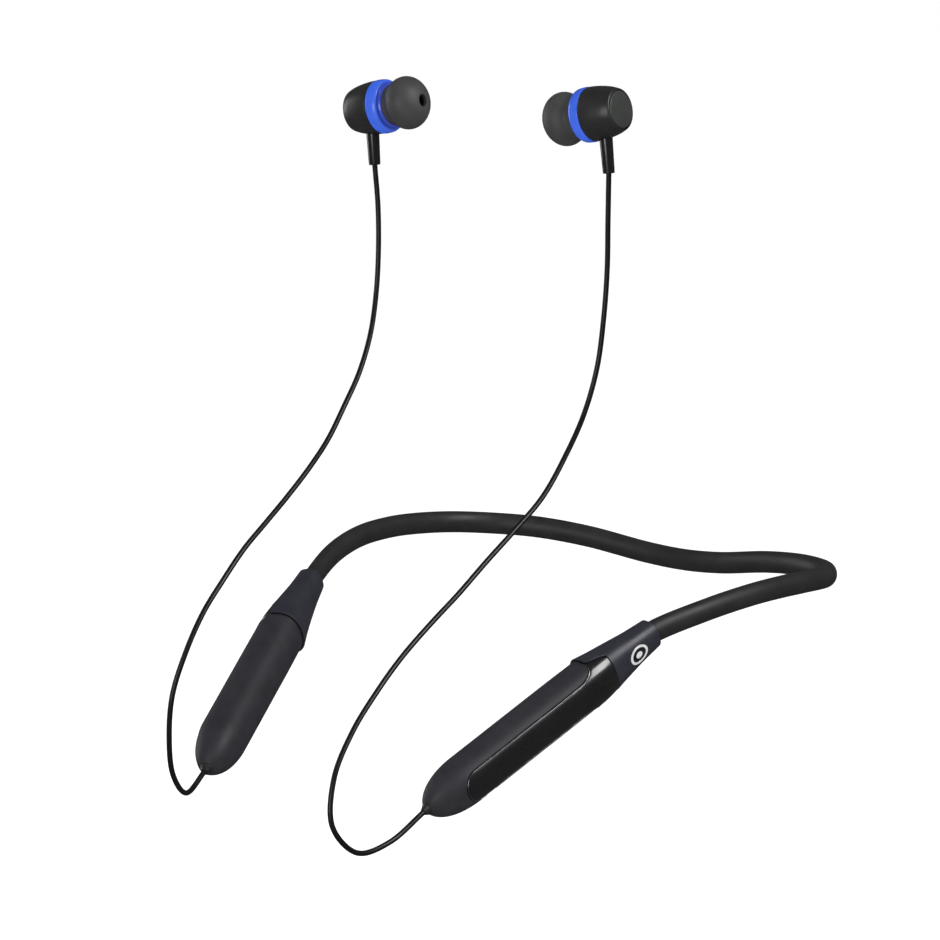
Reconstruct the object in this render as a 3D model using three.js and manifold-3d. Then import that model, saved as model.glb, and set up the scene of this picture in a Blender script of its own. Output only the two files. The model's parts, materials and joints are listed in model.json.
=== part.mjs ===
// Neckband earphones, hung on the neck as worn. Millimetres, +Z up.
// The origin is on the inner face of the neckband at the back of the neck.
// +X is the wearer's left, -Y is the wearer's front. Both sides are mirror images in X,
// apart from the contents of the two modules and the hang of the two earbuds and cords.
import * as THREE from 'three';
import { mergeVertices } from 'three/addons/utils/BufferGeometryUtils.js';
import Module from 'manifold-3d';

const wasm = await Module();
wasm.setup();

// ---------------------------------------------------------------- driving dimensions

const GAP = 0.3; // clearance between neighbouring pieces
const WALL = 1.25; // moulded wall of the module shells

// Neckband sleeve: an oval section swept along a centreline. The list is its left half.
const SLEEVE_THICK = 4.2;
const SLEEVE_HIGH = 5.1;
const SLEEVE_ROUTE = [
  [0, 2.1, 0],
  [10, 1.6, 0.6],
  [25.3, -1.5, 3.2],
  [37.4, -5.2, 4.6],
  [46.7, -10.6, 5.3],
  [52.8, -19.3, 6.3],
  [55.2, -32.6, 7.6],
  [55.3, -41.6, 8.1],
  [54.4, -52.6, 8.1],
  [51.5, -66.4, 6.7],
];
const BACK_REACH = 30; // sleeve length, from the middle, that stays with the neck
const BEND_REACH = 48; // end of the stretch that flexes
const SLEEVE_PLUG = 5; // length of sleeve held inside a collar
const CORE_OFFSET = 1.1; // the two cores lie above and below the centreline
const WIRE_RADIUS = 0.5;
const CABLE_RADIUS = 0.6;
const STATION_SPACING = 6; // between the sleeve's sections

// Modules: each hangs from the end of the sleeve and points forward, down and inward.
const COLLAR_TOP = new THREE.Vector3(46.7, -80.8, 3.5);
const MODULE_TIP = new THREE.Vector3(29.9, -140.7, -26.4);
const MODULE_LENGTH = COLLAR_TOP.distanceTo(MODULE_TIP);
const TIP_LENGTH = 12; // rounded end of a module
const SECTION_POWER = 2.4; // squareness of the module's oval section
const SECTION_POINTS = 20;
const SIDE_CLEAR = 9; // a reach that is outside the module's skin on every side
// Distance from the collar's top, half thickness (sideways), half height.
const MODULE_PROFILE = [
  [0, 2.75, 3.2],
  [6, 3.15, 3.85],
  [12, 3.8, 4.75],
  [18, 4.65, 5.4],
  [25, 4.85, 5.55],
  [40, 4.9, 5.55],
  [MODULE_LENGTH - TIP_LENGTH, 4.95, 5.5],
];
const SEAM_OUTER = 14.6; // collar's lower edge on the outer side
const SEAM_INNER = 19.6; // and on the inner side
const SEAM_STEP_FROM = 0.8; // the edge steps between the two over this part of the thickness
const SEAM_STEP_TO = 2.3;
const SEAM_STEP_PARTS = 8;
const COVER_END = 60.5;
const COVER_HALF = 3.5; // half width of the glossy cover's strip
const COVER_FLARE_AT = 20; // where the cover widens to meet the collar
const COVER_FLARE_WIDE = 2.2;
const COVER_FLARE_LONG = 5.5;
const COVER_SIDE_FROM = 1.3; // the cover reaches this near the module's middle plane
const BADGE_AT = 7;
const BADGE_LONG = 5.4;
const BADGE_WIDE = 3.9;
const BADGE_PROUD = 0.2;
const BADGE_SUNK = 0.15;
const GROMMET_RADIUS = 1.3;
const GROMMET_LONG = 3;
const PLUG_FROM = 10; // the body shell's plug inside the collar
const PLUG_TO = 21.2;
const PLUG_WALL = 0.9;
const WEB_FROM = 20.2; // where the plug joins the shell's wall

// Controls on the inner face of the left module.
const BUTTON_AT = { button_volume_up: 27, button_play: 34, button_volume_down: 41 };
const BUTTON_LONG = 5.4;
const BUTTON_WIDE = 3;
const BUTTON_PROUD = 0.5;
const BUTTON_TRAVEL = 0.4;
const FLANGE_DEPTH = 1.75; // from the module's face to a button's retaining flange
const FLANGE_THICK = 0.6;
const SWITCH_DEPTH = FLANGE_DEPTH + FLANGE_THICK + BUTTON_TRAVEL + 0.05;
const SWITCH_HIGH = 1.35;
const SWITCH_HALF = 1.7; // half the side of a square switch
const SWITCH_STEM = 0.8; // radius of its actuator
const LED_AT = 22.4;
const LED_RADIUS = 0.7;
const MICROPHONE_AT = 46.2;
const MICROPHONE_HOLE = 0.5;
const MICROPHONE_THICK = 0.9;
const BOARD_HALF = 3.2; // half height of the main board
const BOARD_THICK = 0.8;
const BOARD_END = 48.5;
const CHIP_THICK = 0.9;
const SOCKET_AT = 54;
const SOCKET_WIDE = 8.9;
const SOCKET_HIGH = 3.2;
const SOCKET_DEEP = 6.2;
const SOCKET_WALL = 0.3;
const TONGUE_HALF = 0.35; // half thickness of the contact tongue inside the socket

// Right module's contents and the crimps.
const CELL_FROM = 25.5;
const CELL_LONG = 33;
const CELL_RADII = [3.1, 3.6];
const CRIMP_LONG = 3;
const CRIMP_GAP = 0.4; // from the sleeve's end to the crimp

// Earbuds: turned parts on an axis that starts at the rear cap's flat face.
const BUD_STEM_AT = 4.8;
const TIP_AT = 15.1; // middle of the ear tip's dome
const TIP_LONG = 4.6;
const TIP_RADIUS = 5.95;
const TIP_SKIRT = 125.5; // the dome runs from this angle at its skirt, in degrees
const TIP_BORE = 13.6; // to this one at its bore
const STEM_TOP_RADIUS = 1.5;
const STEM_END_RADIUS = 1.3;
const STEM_FROM = 5.1; // from the bud's axis, inside the housing's wall
const CORD_RADIUS = 0.6;
const EARBUDS = {
  left: { cap: [35.3, -76.5, 117], inward: -1, tilt: 12.4, stem_end: [32, -76.5, 103.4] },
  right: { cap: [-37.1, -76.5, 111.2], inward: 1, tilt: 11.3, stem_end: [-31.5, -76.5, 100.2] },
};

// Cords, from the end of the earbud's stem down to the module's tip.
const CORD_ROUTES = {
  left: [
    [32, -76.5, 103], [31.5, -76, 92.5], [31, -75.5, 81.5], [30.5, -76, 71], [29.5, -77, 60],
    [28.5, -80.5, 50], [27.5, -86.5, 41], [27, -94, 33.5], [26, -103, 27.5], [25, -112, 22],
    [24.5, -121.5, 16.5], [24, -131, 11.5], [23.5, -140.5, 6], [23.5, -149.5, 0],
    [23.5, -158, -7], [24, -165, -15.5], [25, -167, -25], [26.5, -160.5, -32],
    [28, -151, -31.5], [29.8, -141.1, -26.6],
  ],
  right: [
    [-31.5, -76.5, 99.8], [-31, -76, 90.5], [-30.5, -76.5, 81], [-30, -78, 71.5],
    [-29, -81.5, 62.5], [-28, -87, 54.5], [-27.5, -93.5, 47.5], [-26.5, -100.5, 41.5],
    [-25.5, -108.5, 36.5], [-25, -117, 31.5], [-24.5, -125.5, 27], [-24, -134, 22.5],
    [-23.5, -142, 17], [-23.5, -149, 11], [-23.5, -155, 3.5], [-24.5, -158.5, -5.5],
    [-25.5, -158.5, -15], [-27, -155.5, -24], [-28.2, -149.5, -29.5], [-29.8, -141.1, -26.6],
  ],
};

// ---------------------------------------------------------------- materials

const FINISHES = {
  silicone: { color: 0x1b1b1c, roughness: 0.62, metalness: 0 },
  satin: { color: 0x33343c, roughness: 0.42, metalness: 0 },
  matte: { color: 0x26242c, roughness: 0.7, metalness: 0 },
  gloss: { color: 0x0b0b0c, roughness: 0.08, metalness: 0 },
  blue: { color: 0x2549dc, roughness: 0.2, metalness: 0 },
  tip: { color: 0x3a3a3b, roughness: 0.68, metalness: 0 },
  cord: { color: 0x101011, roughness: 0.3, metalness: 0 },
  steel: { color: 0xb9bcc2, roughness: 0.3, metalness: 1 },
  copper: { color: 0xb8693a, roughness: 0.35, metalness: 1 },
  board: { color: 0x14532f, roughness: 0.5, metalness: 0 },
  chip: { color: 0x17181b, roughness: 0.45, metalness: 0 },
  cell: { color: 0x8f969e, roughness: 0.4, metalness: 0.4 },
  film: { color: 0xd9d6cc, roughness: 0.4, metalness: 0 },
  lens: { color: 0xe8eef2, roughness: 0.15, metalness: 0 },
};

// ---------------------------------------------------------------- solids and booleans

function toSolid(geometry) {
  const bare = new THREE.BufferGeometry();
  bare.setAttribute('position', geometry.getAttribute('position'));
  if (geometry.getIndex()) bare.setIndex(geometry.getIndex());
  const welded = mergeVertices(bare, 1e-4);
  const corners = welded.getIndex().array;
  const kept = [];
  for (let i = 0; i < corners.length; i += 3) {
    const [a, b, c] = [corners[i], corners[i + 1], corners[i + 2]];
    if (a !== b && b !== c && c !== a) kept.push(a, b, c);
  }
  const vertProperties = new Float32Array(welded.getAttribute('position').array);
  const triVerts = new Uint32Array(kept);
  return new wasm.Manifold(new wasm.Mesh({ numProp: 3, vertProperties, triVerts }));
}

function toGeometry(solid) {
  const mesh = solid.getMesh();
  const geometry = new THREE.BufferGeometry();
  geometry.setAttribute('position', new THREE.BufferAttribute(mesh.vertProperties, 3));
  geometry.setIndex(new THREE.BufferAttribute(mesh.triVerts, 1));
  geometry.computeVertexNormals();
  return geometry;
}

function cut(body, ...tools) {
  return tools.reduce((rest, tool) => rest.subtract(tool), body);
}

// A closed skin over rings of points, each ring anticlockwise seen from ahead of the travel.
function loft(rings) {
  const count = rings[0].length;
  const points = rings.flat();
  const index = [];
  for (let i = 0; i < rings.length - 1; i += 1) {
    for (let j = 0; j < count; j += 1) {
      const a = i * count + j;
      const b = i * count + ((j + 1) % count);
      index.push(a, b, b + count, a, b + count, a + count);
    }
  }
  const last = (rings.length - 1) * count;
  const firstHub = points.length;
  const lastHub = firstHub + 1;
  points.push(middleOf(rings[0]), middleOf(rings[rings.length - 1]));
  for (let j = 0; j < count; j += 1) {
    const k = (j + 1) % count;
    index.push(firstHub, k, j, lastHub, last + j, last + k);
  }
  const geometry = new THREE.BufferGeometry().setFromPoints(points);
  geometry.setIndex(index);
  return geometry;
}

function middleOf(ring) {
  const sum = ring.reduce((total, point) => total.add(point), new THREE.Vector3());
  return sum.divideScalar(ring.length);
}

// A block, given its lowest and highest corners.
function block(low, high) {
  const size = high.map((value, i) => value - low[i]);
  const geometry = new THREE.BoxGeometry(...size);
  geometry.translate(...low.map((value, i) => value + size[i] / 2));
  return geometry;
}

// A turned piece about local X from [distance along the axis, radius] points.
function turned(profile, segments = 18) {
  const points = profile.map(([along, radius]) => new THREE.Vector2(radius, along));
  return new THREE.LatheGeometry(points, segments).rotateZ(-Math.PI / 2);
}

// A rod about local Z between two heights.
function rod(radiusLow, radiusHigh, low, high, segments = 16) {
  const geometry = new THREE.CylinderGeometry(radiusHigh, radiusLow, high - low, segments);
  geometry.rotateX(Math.PI / 2);
  geometry.translate(0, 0, (low + high) / 2);
  return geometry;
}

// A slot-shaped outline, long along Y of its own plane.
function slotShape(long, wide) {
  const radius = wide / 2;
  const reach = long / 2 - radius;
  const shape = new THREE.Shape();
  shape.absarc(0, reach, radius, 0, Math.PI);
  shape.absarc(0, -reach, radius, Math.PI, 2 * Math.PI);
  return shape;
}

// ---------------------------------------------------------------- meshes and placing

const neckband = new THREE.Group();

function addMesh(group, name, shape, finish) {
  const geometry = shape.isBufferGeometry ? shape : toGeometry(shape);
  const mesh = new THREE.Mesh(geometry, new THREE.MeshStandardMaterial(FINISHES[finish]));
  mesh.name = name;
  group.add(mesh);
  return mesh;
}

// The same solid seen in a mirror, x to -x.
function mirrored(solid) {
  return solid.mirror([1, 0, 0]);
}

// ---------------------------------------------------------------- neckband sleeve and cores

function sleeveCurve() {
  const along = MODULE_TIP.clone().sub(COLLAR_TOP).normalize();
  const leftHalf = SLEEVE_ROUTE.map((point) => new THREE.Vector3(...point));
  leftHalf.push(COLLAR_TOP.clone());
  leftHalf.push(COLLAR_TOP.clone().addScaledVector(along, SLEEVE_PLUG));
  const rightHalf = leftHalf.slice(1).reverse().map((p) => new THREE.Vector3(-p.x, p.y, p.z));
  const curve = new THREE.CatmullRomCurve3([...rightHalf, ...leftHalf], false, 'centripetal');
  curve.arcLengthDivisions = 800;
  return curve;
}

const sleeve = sleeveCurve();
const SLEEVE_HALF = sleeve.getLength() / 2;

// The two ends, and between them places on one grid, so that a core and its bore match.
function stationsBetween(from, to) {
  const stations = [from];
  const first = Math.floor(from / STATION_SPACING) + 1;
  for (let i = first; i * STATION_SPACING < to; i += 1) stations.push(i * STATION_SPACING);
  return [...stations, to];
}

// Rings along the sleeve between two distances from its middle, left side positive.
function sleeveRings(from, to, halfThick, halfHigh, lift, count) {
  return stationsBetween(from, to).map((distance) => {
    const inside = THREE.MathUtils.clamp(distance, -SLEEVE_HALF, SLEEVE_HALF);
    const u = (inside + SLEEVE_HALF) / (2 * SLEEVE_HALF);
    const travel = sleeve.getTangentAt(u);
    const side = new THREE.Vector3(0, 0, 1).cross(travel).normalize();
    const up = travel.clone().cross(side);
    const centre = sleeve.getPointAt(u);
    centre.addScaledVector(travel, distance - inside);
    centre.addScaledVector(up, lift);
    return ovalRing(centre, side, up, halfThick, halfHigh, count);
  });
}

function ovalRing(centre, side, up, halfThick, halfHigh, count) {
  const ring = [];
  for (let j = 0; j < count; j += 1) {
    const turn = (2 * Math.PI * j) / count;
    const point = centre.clone();
    point.addScaledVector(side, halfThick * Math.cos(turn));
    point.addScaledVector(up, halfHigh * Math.sin(turn));
    ring.push(point);
  }
  return ring;
}

function coreSolid(radius, lift, from, to) {
  return toSolid(loft(sleeveRings(from, to, radius, radius, lift, 6)));
}

function sleeveSolid(from, to) {
  const skin = loft(sleeveRings(from, to, SLEEVE_THICK / 2, SLEEVE_HIGH / 2, 0, 14));
  const wireBore = coreSolid(WIRE_RADIUS + GAP, CORE_OFFSET, from - 1, to + 1);
  const cableBore = coreSolid(CABLE_RADIUS + GAP, -CORE_OFFSET, from - 1, to + 1);
  return cut(toSolid(skin), wireBore, cableBore);
}

function addSleeve(group) {
  addMesh(group, 'sleeve_back', sleeveSolid(-BACK_REACH, BACK_REACH), 'silicone');
  for (const [side, sign] of [['left', 1], ['right', -1]]) {
    const bend = [sign * (BACK_REACH + GAP), sign * BEND_REACH].sort((a, b) => a - b);
    const arm = [sign * (BEND_REACH + GAP), sign * SLEEVE_HALF].sort((a, b) => a - b);
    addMesh(group, `${side}_sleeve_bend`, sleeveSolid(...bend), 'silicone');
    addMesh(group, `${side}_sleeve_arm`, sleeveSolid(...arm), 'silicone');
  }
  const wire = coreSolid(WIRE_RADIUS, CORE_OFFSET, -SLEEVE_HALF, SLEEVE_HALF);
  const cable = coreSolid(CABLE_RADIUS, -CORE_OFFSET, -SLEEVE_HALF, SLEEVE_HALF);
  addMesh(group, 'memory_wire', wire, 'steel');
  addMesh(group, 'signal_cable', cable, 'copper');
}

// ---------------------------------------------------------------- modules
// Local frame: X outward from the wearer, Y up the front, Z from the collar's top to the tip.

function moduleMatrix() {
  const along = MODULE_TIP.clone().sub(COLLAR_TOP).normalize();
  const outward = new THREE.Vector3(1, 0, 0);
  outward.addScaledVector(along, -outward.dot(along)).normalize();
  const up = along.clone().cross(outward);
  return new THREE.Matrix4().makeBasis(outward, up, along).setPosition(COLLAR_TOP);
}

function halfSizesAt(distance, end) {
  const curve = new THREE.CatmullRomCurve3(
    MODULE_PROFILE.map(([at, thick, high]) => new THREE.Vector3(at, thick, high)),
    false,
    'centripetal',
  );
  const shoulder = MODULE_LENGTH - TIP_LENGTH;
  let low = 0;
  let high = 1;
  for (let i = 0; i < 24; i += 1) {
    const middle = (low + high) / 2;
    if (curve.getPoint(middle).x < Math.min(distance, shoulder)) low = middle;
    else high = middle;
  }
  const sizes = curve.getPoint(low);
  const beyond = Math.max(0, distance - shoulder) / (end - shoulder);
  const rounding = Math.sqrt(Math.max(0, 1 - beyond ** 2.1));
  return [sizes.y, sizes.z, rounding];
}

// The module's outer form, moved inward by an inset, between two distances from the top.
function moduleForm(inset, from = 0, to = MODULE_LENGTH - inset) {
  const end = MODULE_LENGTH - inset;
  const stations = [];
  const shoulder = MODULE_LENGTH - TIP_LENGTH;
  for (let at = from; at < Math.min(to, shoulder); at += at < 24 ? 3 : 8) stations.push(at);
  for (const part of [0, 0.35, 0.62, 0.82, 0.94, 0.99]) {
    const at = shoulder + part * (end - shoulder);
    if (at < to) stations.push(at);
  }
  if (to < shoulder) stations.push(to);
  const power = 2 / SECTION_POWER;
  const rings = stations.map((at) => {
    const [thick, high, rounding] = halfSizesAt(at, end);
    const ring = [];
    for (let j = 0; j < SECTION_POINTS; j += 1) {
      const turn = (2 * Math.PI * j) / SECTION_POINTS;
      const c = Math.cos(turn);
      const s = Math.sin(turn);
      const x = (thick - inset) * rounding * Math.sign(c) * Math.abs(c) ** power;
      const y = (high - inset) * rounding * Math.sign(s) * Math.abs(s) ** power;
      ring.push(new THREE.Vector3(x, y, at));
    }
    return ring;
  });
  return toSolid(loft(rings));
}

// Where the collar's lower edge lies at a place across the module's thickness.
function seamAt(x) {
  const share = THREE.MathUtils.smoothstep(x, SEAM_STEP_FROM, SEAM_STEP_TO);
  return THREE.MathUtils.lerp(SEAM_INNER, SEAM_OUTER, share);
}

// Everything above the collar's stepped lower edge, moved outward by an allowance.
function aboveSeam(allowance) {
  const shape = new THREE.Shape();
  shape.moveTo(-SIDE_CLEAR, -SIDE_CLEAR);
  shape.lineTo(SIDE_CLEAR, -SIDE_CLEAR);
  shape.lineTo(SIDE_CLEAR, SEAM_OUTER + allowance);
  for (let i = 0; i <= SEAM_STEP_PARTS; i += 1) {
    const x = THREE.MathUtils.lerp(SEAM_STEP_TO, SEAM_STEP_FROM, i / SEAM_STEP_PARTS);
    shape.lineTo(x + allowance, seamAt(x) + allowance);
  }
  shape.lineTo(-SIDE_CLEAR, SEAM_INNER + allowance);
  const options = { depth: 2 * SIDE_CLEAR, bevelEnabled: false };
  const geometry = new THREE.ExtrudeGeometry(shape, options);
  geometry.rotateX(Math.PI / 2);
  geometry.translate(0, SIDE_CLEAR, 0);
  return toSolid(geometry);
}

// A prism whose outline lies in the module's height and length, between two x places.
function acrossModule(shape, from, to) {
  const depth = to - from;
  const options = { depth, bevelEnabled: false, curveSegments: 5 };
  const geometry = new THREE.ExtrudeGeometry(shape, options);
  const turn = new THREE.Matrix4().makeBasis(
    new THREE.Vector3(0, 1, 0),
    new THREE.Vector3(0, 0, 1),
    new THREE.Vector3(1, 0, 0),
  );
  geometry.applyMatrix4(turn);
  geometry.translate(from, 0, 0);
  return toSolid(geometry);
}

// The glossy cover's outline: wide under the collar, then a strip with a rounded end.
function coverRegion(grow) {
  const half = COVER_HALF + grow;
  const flare = COVER_FLARE_AT + grow;
  const narrow = flare + COVER_FLARE_LONG;
  const shape = new THREE.Shape();
  shape.moveTo(SIDE_CLEAR, 2);
  shape.lineTo(SIDE_CLEAR, flare);
  shape.lineTo(half + COVER_FLARE_WIDE, flare);
  shape.quadraticCurveTo(half, flare, half, narrow);
  shape.absarc(0, COVER_END - COVER_HALF, half, 0, Math.PI);
  shape.lineTo(-half, narrow);
  shape.quadraticCurveTo(-half, flare, -half - COVER_FLARE_WIDE, flare);
  shape.lineTo(-SIDE_CLEAR, flare);
  shape.lineTo(-SIDE_CLEAR, 2);
  return acrossModule(shape, COVER_SIDE_FROM - grow, SIDE_CLEAR);
}

function collarSolid() {
  const skin = moduleForm(-GAP / 2, 0).intersect(aboveSeam(0));
  const room = moduleForm(WALL, SLEEVE_PLUG + 1);
  const bore = new THREE.CylinderGeometry(1, 1, SLEEVE_PLUG + 4, 18);
  bore.rotateX(Math.PI / 2);
  bore.scale(SLEEVE_THICK / 2 + GAP, SLEEVE_HIGH / 2 + GAP, 1);
  bore.translate(0, 0, SLEEVE_PLUG / 2 + 0.5);
  return cut(skin, room, toSolid(bore));
}

// Shell of the module, open under the collar and along the cover, with a plug for the collar.
function bodySolid() {
  const shell = cut(moduleForm(0, 8), moduleForm(WALL, 7), aboveSeam(GAP), coverRegion(GAP));
  const plugOut = moduleForm(WALL + GAP, PLUG_FROM, PLUG_TO);
  const plugIn = moduleForm(WALL + GAP + PLUG_WALL, PLUG_FROM - 1, PLUG_TO + 1);
  const plugRegion = toSolid(
    block([-SIDE_CLEAR, -SIDE_CLEAR, PLUG_FROM], [COVER_SIDE_FROM - 2 * GAP, SIDE_CLEAR, PLUG_TO]),
  );
  const web = cut(moduleForm(WALL - 0.2, WEB_FROM, PLUG_TO), plugIn).intersect(plugRegion);
  const plug = cut(plugOut, plugIn).intersect(plugRegion);
  const holeRadius = GROMMET_RADIUS + GAP;
  const holeFrom = MODULE_LENGTH - 2 * GROMMET_LONG;
  const cordHole = toSolid(rod(holeRadius, holeRadius, holeFrom, MODULE_LENGTH + 1));
  return cut(shell.add(plug).add(cut(web, coverRegion(GAP))), cordHole);
}

function coverSolid() {
  const skin = cut(moduleForm(-GAP / 4, 8), moduleForm(WALL, 7), aboveSeam(GAP));
  return skin.intersect(coverRegion(0));
}

function grommetSolid() {
  const end = MODULE_LENGTH - GAP - 0.1;
  return toSolid(rod(GROMMET_RADIUS, GROMMET_RADIUS, end - GROMMET_LONG, end));
}

function ovalPrism(grow) {
  const shape = new THREE.Shape();
  shape.absellipse(0, BADGE_AT, BADGE_WIDE / 2 + grow, BADGE_LONG / 2 + grow, 0, 2 * Math.PI);
  return acrossModule(shape, 0, SIDE_CLEAR);
}

// The collar's oval badge is let into a pocket in its outer face.
function collarWithBadge() {
  const pocket = cut(ovalPrism(GAP / 2), moduleForm(BADGE_SUNK + GAP));
  const badge = cut(ovalPrism(0), moduleForm(BADGE_SUNK)).intersect(moduleForm(-BADGE_PROUD));
  return { collar: cut(collarSolid(), pocket), badge };
}

function wireCrimp() {
  const from = SLEEVE_PLUG + CRIMP_GAP;
  return toSolid(block([-1.3, -1.6, from], [1.3, 1.6, from + CRIMP_LONG]));
}

function controlHoles(innerFace) {
  const holes = Object.values(BUTTON_AT).map((at) => buttonPrism(at, GAP, innerFace - 3, -1));
  holes.push(sidePin(LED_AT, LED_RADIUS + GAP, innerFace - 3, -1));
  holes.push(sidePin(MICROPHONE_AT, MICROPHONE_HOLE, innerFace - 3, -1));
  const socket = new THREE.ExtrudeGeometry(
    slotShape(SOCKET_WIDE + 2 * GAP, SOCKET_HIGH + 2 * GAP),
    { depth: 6, bevelEnabled: false, curveSegments: 6 },
  );
  socket.applyMatrix4(socketMatrix(-8));
  return [...holes, toSolid(socket)];
}

function socketMatrix(startY) {
  const turn = new THREE.Matrix4().makeBasis(
    new THREE.Vector3(-1, 0, 0),
    new THREE.Vector3(0, 0, 1),
    new THREE.Vector3(0, 1, 0),
  );
  return turn.setPosition(0, startY, SOCKET_AT);
}

function buttonPrism(at, grow, from, to) {
  const shape = slotShape(BUTTON_LONG + 2 * grow, BUTTON_WIDE + 2 * grow);
  const prism = acrossModule(shape, from, to);
  return prism.translate([0, 0, at]);
}

function sidePin(at, radius, from, to) {
  const geometry = new THREE.CylinderGeometry(radius, radius, to - from, 12);
  geometry.rotateZ(Math.PI / 2);
  geometry.translate((from + to) / 2, 0, at);
  return toSolid(geometry);
}

function buttonSolid(at, face) {
  const stem = buttonPrism(at, 0, face - BUTTON_PROUD, face + FLANGE_DEPTH + 0.1);
  const flange = buttonPrism(at, 0.5, face + FLANGE_DEPTH, face + FLANGE_DEPTH + FLANGE_THICK);
  return stem.add(flange);
}

function addLeftModuleContents(group) {
  const face = -MODULE_PROFILE[5][1];
  for (const [name, at] of Object.entries(BUTTON_AT)) {
    addMesh(group, name, buttonSolid(at, face), 'satin');
    const seat = face + SWITCH_DEPTH;
    const near = [seat + 0.35, -SWITCH_HALF, at - SWITCH_HALF];
    const far = [seat + SWITCH_HIGH, SWITCH_HALF, at + SWITCH_HALF];
    const body = toSolid(block(near, far));
    const actuator = sidePin(at, SWITCH_STEM, seat, seat + 0.6);
    addMesh(group, name.replace('button', 'switch'), body.add(actuator), 'chip');
  }
  const boardFrom = face + SWITCH_DEPTH + SWITCH_HIGH + GAP;
  const boardTo = boardFrom + BOARD_THICK;
  const board = block([boardFrom, -BOARD_HALF, PLUG_TO + GAP], [boardTo, BOARD_HALF, BOARD_END]);
  addMesh(group, 'main_board', board, 'board');
  const chip = block([boardTo + GAP, -2.5, 28], [boardTo + GAP + CHIP_THICK, 2.5, 34.5]);
  addMesh(group, 'bluetooth_chip', chip, 'chip');
  addMesh(group, 'led_light_pipe', sidePin(LED_AT, LED_RADIUS, face + 0.02, face + 2.6), 'lens');
  const micTo = boardFrom - GAP;
  const mic = block(
    [micTo - MICROPHONE_THICK, -1.3, MICROPHONE_AT - 1.5],
    [micTo, 1.3, MICROPHONE_AT + 1.5],
  );
  addMesh(group, 'microphone', mic, 'steel');
  addMesh(group, 'usb_c_socket', socketSolid(), 'steel');
}

function socketSolid() {
  const options = { depth: SOCKET_DEEP, bevelEnabled: false, curveSegments: 6 };
  const outside = new THREE.ExtrudeGeometry(slotShape(SOCKET_WIDE, SOCKET_HIGH), options);
  const room = slotShape(SOCKET_WIDE - 2 * SOCKET_WALL, SOCKET_HIGH - 2 * SOCKET_WALL);
  const inside = new THREE.ExtrudeGeometry(room, options);
  inside.translate(0, 0, -0.5);
  const tongue = block([-TONGUE_HALF, -3.2, 1], [TONGUE_HALF, 3.2, SOCKET_DEEP - 0.2]);
  const socket = cut(toSolid(outside), toSolid(inside)).add(toSolid(tongue));
  const geometry = toGeometry(socket);
  return geometry.applyMatrix4(socketMatrix(-MODULE_PROFILE[5][2] + 0.35));
}

function addRightModuleContents(group) {
  const cell = new THREE.Shape();
  cell.absellipse(0, 0, ...CELL_RADII, 0, 2 * Math.PI);
  const cellOptions = { depth: CELL_LONG, bevelEnabled: false, curveSegments: 12 };
  const battery = new THREE.ExtrudeGeometry(cell, cellOptions).translate(0, 0, CELL_FROM);
  addMesh(group, 'battery_cell', battery, 'cell');
  addMesh(group, 'protection_board', block([-0.4, -2.2, 59], [0.4, 2.2, 64]), 'board');
}

function addModules(group) {
  const matrix = moduleMatrix();
  const flip = new THREE.Matrix4().makeScale(-1, 1, 1);
  const places = {
    left: matrix,
    right: flip.clone().multiply(matrix).multiply(flip),
  };
  const { collar, badge } = collarWithBadge();
  const face = -MODULE_PROFILE[5][1];
  const bodies = { left: cut(bodySolid(), ...controlHoles(face)), right: bodySolid() };
  const shared = {
    outer_cover: [coverSolid(), 'gloss'],
    collar: [collar, 'satin'],
    badge: [badge, 'film'],
    cord_grommet: [grommetSolid(), 'silicone'],
    wire_crimp: [wireCrimp(), 'steel'],
  };
  for (const side of ['left', 'right']) {
    const asBuilt = side === 'left' ? (solid) => solid : mirrored;
    const module = new THREE.Group();
    module.applyMatrix4(places[side]);
    addMesh(module, `${side}_body_shell`, asBuilt(bodies[side]), 'matte');
    for (const [name, [solid, finish]] of Object.entries(shared)) {
      addMesh(module, `${side}_${name}`, asBuilt(solid), finish);
    }
    if (side === 'left') addLeftModuleContents(module);
    else addRightModuleContents(module);
    group.add(module);
  }
}

// ---------------------------------------------------------------- earbuds
// Local frame: X from the rear cap's flat face to the ear tip, Z up.

function rearHousing(stemDirection) {
  const shell = turned([
    [0.3, 4.35], [0.5, 4.65], [2, 5.25], [4, 5.68], [6, 5.93], [7.4, 5.98],
    [7.4, 4.95], [4, 4.75], [1.75, 4.65], [1.75, 4.35], [0.3, 4.35],
  ]);
  const hole = rod(STEM_TOP_RADIUS + GAP, STEM_TOP_RADIUS + GAP, -12, 0);
  hole.applyQuaternion(stemTurn(stemDirection));
  hole.translate(BUD_STEM_AT, 0, 0);
  return cut(toSolid(shell), toSolid(hole));
}

function stemTurn(direction) {
  return new THREE.Quaternion().setFromUnitVectors(new THREE.Vector3(0, 0, -1), direction);
}

function rearCap() {
  return turned([[0, 0], [0, 3.75], [0.2, 4.02], [1.4, 4.02], [1.4, 0]]);
}

function claspMagnet() {
  return turned([[1.7, 0], [1.7, 3], [3, 3], [3, 0]]);
}

function frontShell() {
  return turned([
    [7.7, 5.1], [7.7, 6.02], [8.3, 6.08], [9.7, 5.95], [10.3, 5.6], [10.4, 4.75],
    [11, 4.45], [11.1, 2.5], [15, 2.5], [15.3, 2.65], [16, 2.4], [16, 1.9],
    [11, 1.9], [9.6, 4.3], [9.2, 5.1], [7.7, 5.1],
  ]);
}

function nozzleScreen() {
  return turned([[15.1, 0], [15.1, 1.6], [15.4, 1.6], [15.4, 0]], 16);
}

function driverBasket() {
  return turned([
    [4.6, 0], [4.6, 3.1], [5.6, 4.4], [8.6, 4.4], [8.6, 4], [5.9, 4], [5.1, 2.8], [5.1, 0],
  ]);
}

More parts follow.
